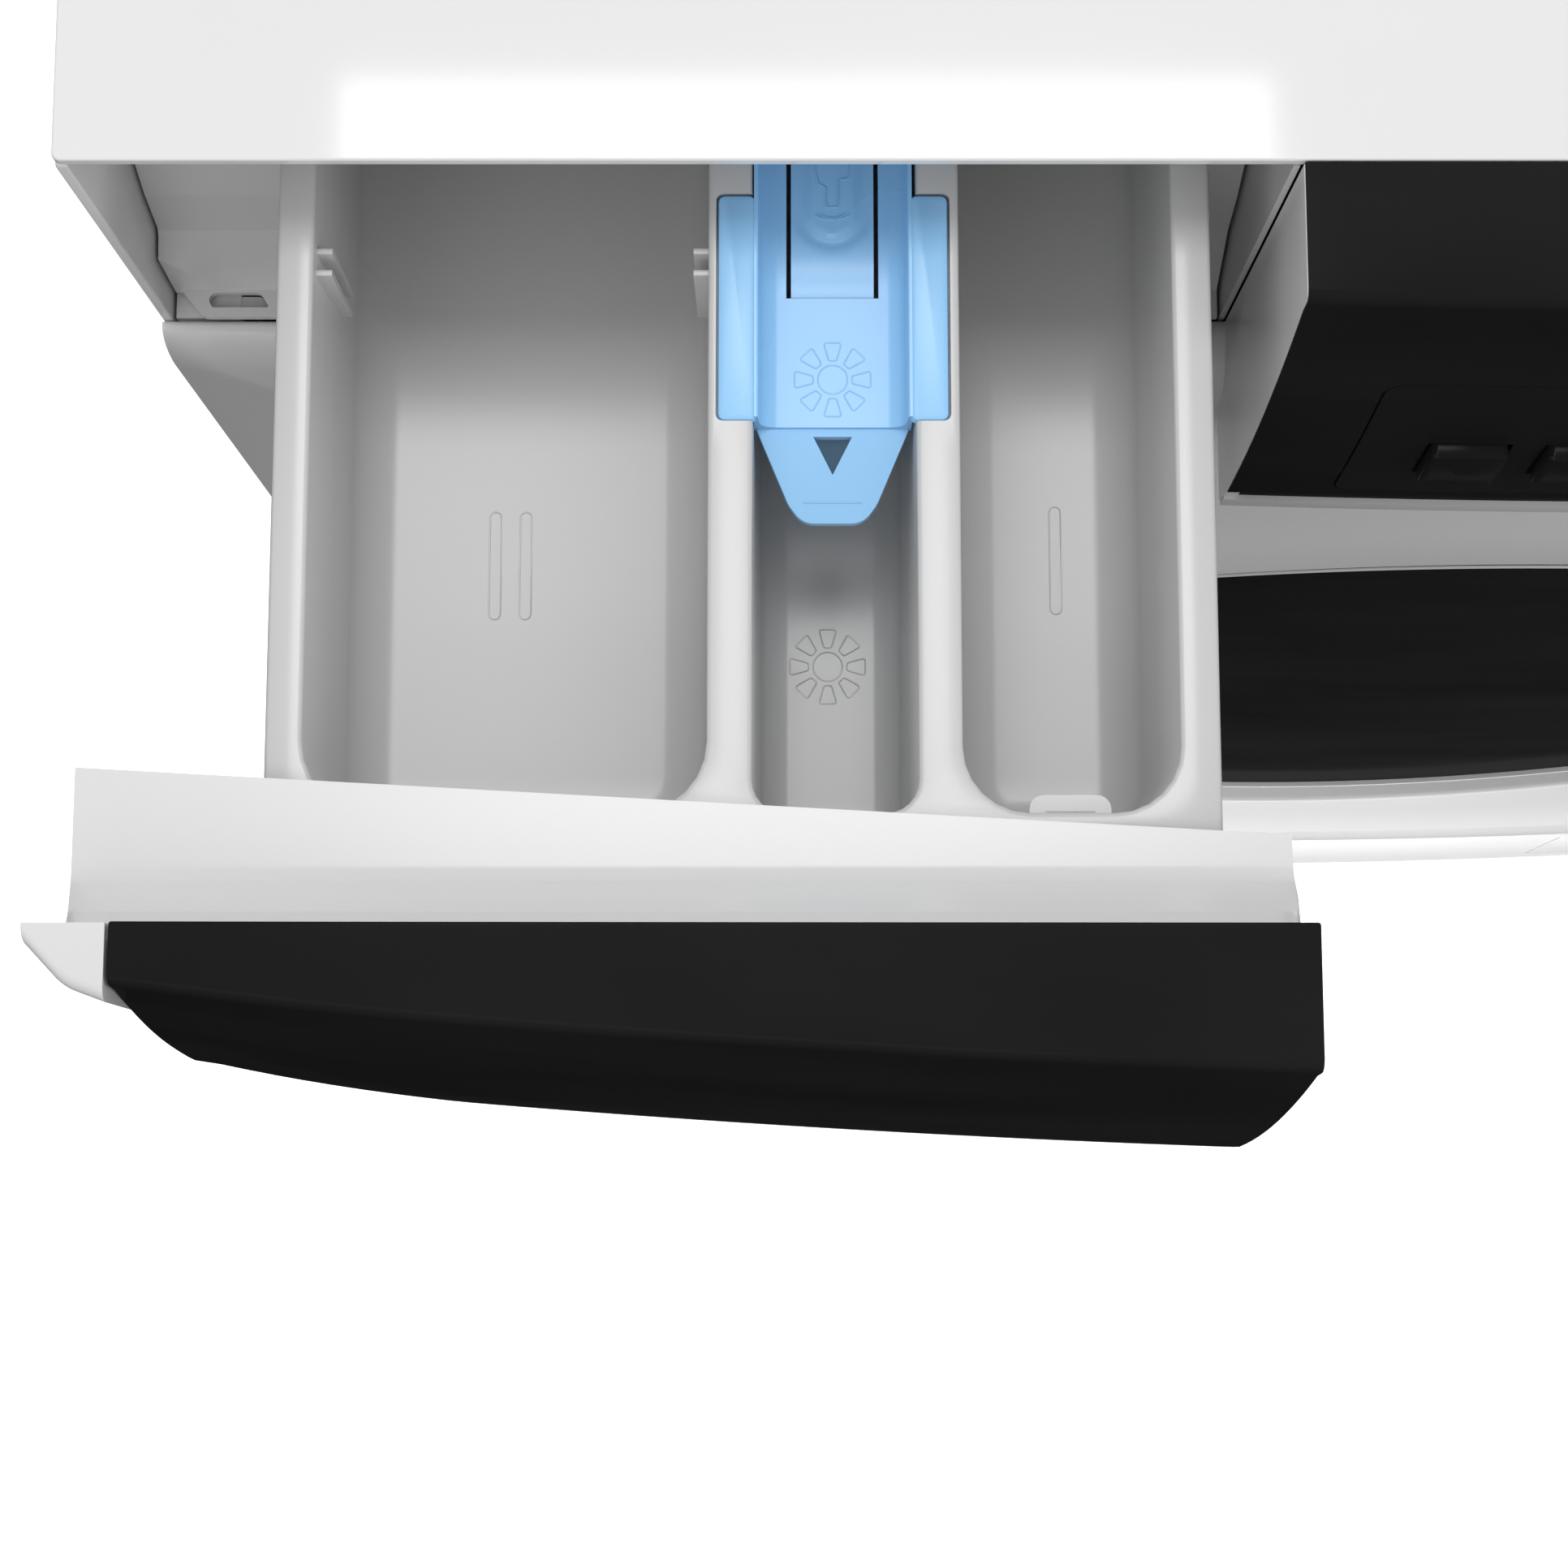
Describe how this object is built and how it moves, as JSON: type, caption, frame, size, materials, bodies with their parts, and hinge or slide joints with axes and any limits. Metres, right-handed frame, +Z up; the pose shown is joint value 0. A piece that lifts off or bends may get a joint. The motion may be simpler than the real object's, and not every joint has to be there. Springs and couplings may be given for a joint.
{
  "type": "front load washing machine",
  "caption": "Freestanding front load washing machine, white cabinet, black bowed fascia and round door, open detergent drawer with blue siphon, sprung tub and belt-driven drum.",
  "frame": {"origin": "on the floor, on the machine's middle plane, half-way between the front of the open drawer and the back of the rear cover", "axes": "+X to the machine's right as seen from the front, +Y towards its back, +Z up"},
  "size_m": [0.598, 0.7144, 0.848],
  "materials": {
    "white_paint": "semi-gloss baked enamel",
    "white_laminate": "smooth white laminate",
    "white_plastic": "satin moulded",
    "tub_plastic": "glass-filled polypropylene",
    "black_gloss": "high gloss",
    "grey_plastic": "satin silver-grey",
    "dark_plastic": "textured moulded",
    "blue_plastic": "translucent sky blue, satin",
    "stainless": "brushed",
    "cast_aluminium": "as cast",
    "zinc_sheet": "zinc plated",
    "weight_iron": "rough cast",
    "seal_rubber": "grey moulded",
    "black_rubber": "matte",
    "door_glass": "clear pressed glass",
    "board": "solder mask"
  },
  "bodies": {
    "cabinet": {"worktop": "white_laminate", "left_side_panel": "white_paint", "right_side_panel": "white_paint", "rear_panel": "white_paint", "rear_cover": "zinc_sheet", "base_pan": "dark_plastic", "front_panel": "white_paint", "kick_panel": "white_paint", "fascia_skin": "black_gloss", "control_plate": "black_gloss", "fascia_carrier": "white_plastic", "control_board": "board", "dispenser_housing": "white_plastic", "dispenser_hose": "black_rubber", "door_lock": "dark_plastic", "door_hinge_bracket": "grey_plastic", "door_seal": "seal_rubber", "drain_pump": "white_plastic", "sump_hose": "black_rubber", "inlet_valve": "white_plastic", "mains_gland": "dark_plastic", "drain_outlet": "dark_plastic", "damper_tube_left": "dark_plastic", "damper_tube_right": "dark_plastic", "spring_left": "stainless", "spring_right": "stainless"},
    "filter_flap": {"filter_flap": "white_paint"},
    "filter_cap": {"filter_cap": "dark_plastic"},
    "button_1": {"button_1": "black_gloss"},
    "button_2": {"button_2": "black_gloss"},
    "button_3": {"button_3": "black_gloss"},
    "button_4": {"button_4": "black_gloss"},
    "program_knob": {"program_knob": "grey_plastic"},
    "foot_front_left": {"foot_front_left": "black_rubber"},
    "foot_front_right": {"foot_front_right": "black_rubber"},
    "foot_rear_left": {"foot_rear_left": "black_rubber"},
    "foot_rear_right": {"foot_rear_right": "black_rubber"},
    "drawer": {"drawer_tray": "white_plastic", "drawer_front_body": "white_plastic", "drawer_front_skin": "black_gloss"},
    "siphon": {"siphon_insert": "blue_plastic"},
    "press_tab": {"siphon_press_tab": "blue_plastic"},
    "door": {"door_frame": "grey_plastic", "door_cover": "black_gloss", "door_glass": "door_glass", "door_hinge_arm": "grey_plastic"},
    "latch": {"latch_hook": "stainless"},
    "tub": {"tub_front_half": "tub_plastic", "tub_rear_half": "tub_plastic", "front_counterweight": "weight_iron", "motor_body": "cast_aluminium", "heater": "stainless", "drum_bearing": "stainless", "drive_belt": "black_rubber", "damper_rod_left": "stainless", "damper_rod_right": "stainless"},
    "drum": {"drum_basket": "stainless", "drum_spider_shaft": "cast_aluminium", "drum_pulley": "cast_aluminium"},
    "motor_rotor": {"motor_pulley": "stainless"}
  },
  "joints": [
    {"name": "drawer_slide", "type": "slide", "parent": "cabinet", "child": "drawer", "axis": [0, -1, 0], "range_m": [-0.1237, 0.05]},
    {"name": "siphon_lift", "type": "slide", "parent": "drawer", "child": "siphon", "axis": [0, 0, 1], "range_m": [0, 0.008]},
    {"name": "siphon_tab_press", "type": "hinge", "parent": "siphon", "child": "press_tab", "pos_m": [-0.1717, -0.2137, 0.819], "axis": [-1, 0, 0], "range_deg": [0, 5], "stiffness_Nm_per_rad": 0.4, "springref_deg": -3.44},
    {"name": "door_swing", "type": "hinge", "parent": "cabinet", "child": "door", "pos_m": [-0.205, -0.224, 0.422], "axis": [0, 0, -1], "range_deg": [0, 150]},
    {"name": "latch_swing", "type": "hinge", "parent": "door", "child": "latch", "pos_m": [0.184, -0.196, 0.422], "axis": [0, 0, 1], "range_deg": [0, 6], "stiffness_Nm_per_rad": 0.3, "springref_deg": -5.73},
    {"name": "flap_swing", "type": "hinge", "parent": "cabinet", "child": "filter_flap", "pos_m": [0.21, -0.2114, 0.0312], "axis": [0.9985, 0.0549, 0], "range_deg": [0, 95]},
    {"name": "filter_turn", "type": "hinge", "parent": "cabinet", "child": "filter_cap", "pos_m": [0.21, -0.2, 0.06], "axis": [0, -1, 0], "range_deg": [0, 90]},
    {"name": "tub_bounce", "type": "slide", "parent": "cabinet", "child": "tub", "axis": [0, 0, 1], "range_m": [-0.008, 0.008], "stiffness_N_per_m": 16000, "springref_m": 0.026, "deforming": ["spring_left", "spring_right", "dispenser_hose", "sump_hose"]},
    {"name": "drum_spin", "type": "hinge", "parent": "tub", "child": "drum", "pos_m": [0, 0, 0.422], "axis": [0, 1, 0], "continuous": true},
    {"name": "motor_spin", "type": "hinge", "parent": "tub", "child": "motor_rotor", "pos_m": [-0.165, 0.2, 0.127], "axis": [0, 1, 0], "continuous": true},
    {"name": "knob_turn", "type": "hinge", "parent": "cabinet", "child": "program_knob", "pos_m": [0.19, -0.22705, 0.792], "axis": [0.0652, -0.9949, 0.0774], "continuous": true},
    {"name": "button_1_press", "type": "slide", "parent": "cabinet", "child": "button_1", "axis": [0.0194, 0.9968, -0.0775], "range_m": [0, 0.0015], "stiffness_N_per_m": 600, "springref_m": -0.0008},
    {"name": "button_2_press", "type": "slide", "parent": "cabinet", "child": "button_2", "axis": [0.0122, 0.9969, -0.0775], "range_m": [0, 0.0015], "stiffness_N_per_m": 600, "springref_m": -0.0008},
    {"name": "button_3_press", "type": "slide", "parent": "cabinet", "child": "button_3", "axis": [0.005, 0.997, -0.0775], "range_m": [0, 0.0015], "stiffness_N_per_m": 600, "springref_m": -0.0008},
    {"name": "button_4_press", "type": "slide", "parent": "cabinet", "child": "button_4", "axis": [-0.0022, 0.997, -0.0775], "range_m": [0, 0.0015], "stiffness_N_per_m": 600, "springref_m": -0.0008},
    {"name": "foot_front_left_turn", "type": "hinge", "parent": "cabinet", "child": "foot_front_left", "pos_m": [-0.255, -0.175, 0], "axis": [0, 0, 1], "continuous": true},
    {"name": "foot_front_right_turn", "type": "hinge", "parent": "cabinet", "child": "foot_front_right", "pos_m": [0.255, -0.175, 0], "axis": [0, 0, 1], "continuous": true},
    {"name": "foot_rear_left_turn", "type": "hinge", "parent": "cabinet", "child": "foot_rear_left", "pos_m": [-0.255, 0.315, 0], "axis": [0, 0, 1], "continuous": true},
    {"name": "foot_rear_right_turn", "type": "hinge", "parent": "cabinet", "child": "foot_rear_right", "pos_m": [0.255, 0.315, 0], "axis": [0, 0, 1], "continuous": true}
  ],
  "couplings": [
    {"joint": "motor_spin", "follows": "drum_spin", "ratio": 14}
  ]
}
